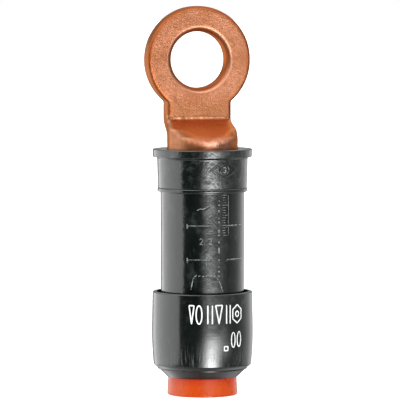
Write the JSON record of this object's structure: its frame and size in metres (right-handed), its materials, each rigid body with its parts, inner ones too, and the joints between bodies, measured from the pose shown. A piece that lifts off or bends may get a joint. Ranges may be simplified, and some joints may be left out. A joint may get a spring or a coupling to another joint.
{
  "type": "cable lug",
  "caption": "Pre-insulated cable lug: flat copper ring palm on a round shank, black moulded sleeve over its aluminium barrel, clip-on end cap and an orange entry plug.",
  "frame": {"origin": "centre of the entry plug's flat end, on the lug's axis, at the middle of the bottom of the bounding box", "axes": "+Z along the barrel towards the palm, +Y out of the palm's back contact face, X across the palm"},
  "size_m": [0.0256, 0.0244, 0.0933],
  "materials": {
    "copper": "bare forged copper, satin, lightly tumbled",
    "aluminium": "plain turned aluminium",
    "sleeve_plastic": "glossy black moulding with fine scuffs",
    "cap_plastic": "glossy black moulding, scuffed near its end",
    "seal_rubber": "matt black rubber",
    "plug_plastic": "translucent orange polyethylene, softly glossy"
  },
  "bodies": {
    "root": {"copper_palm": "copper", "aluminium_barrel": "aluminium", "insulating_sleeve": "sleeve_plastic", "end_cap": "cap_plastic", "sealing_ring": "seal_rubber", "entry_plug": "plug_plastic"}
  },
  "joints": []
}
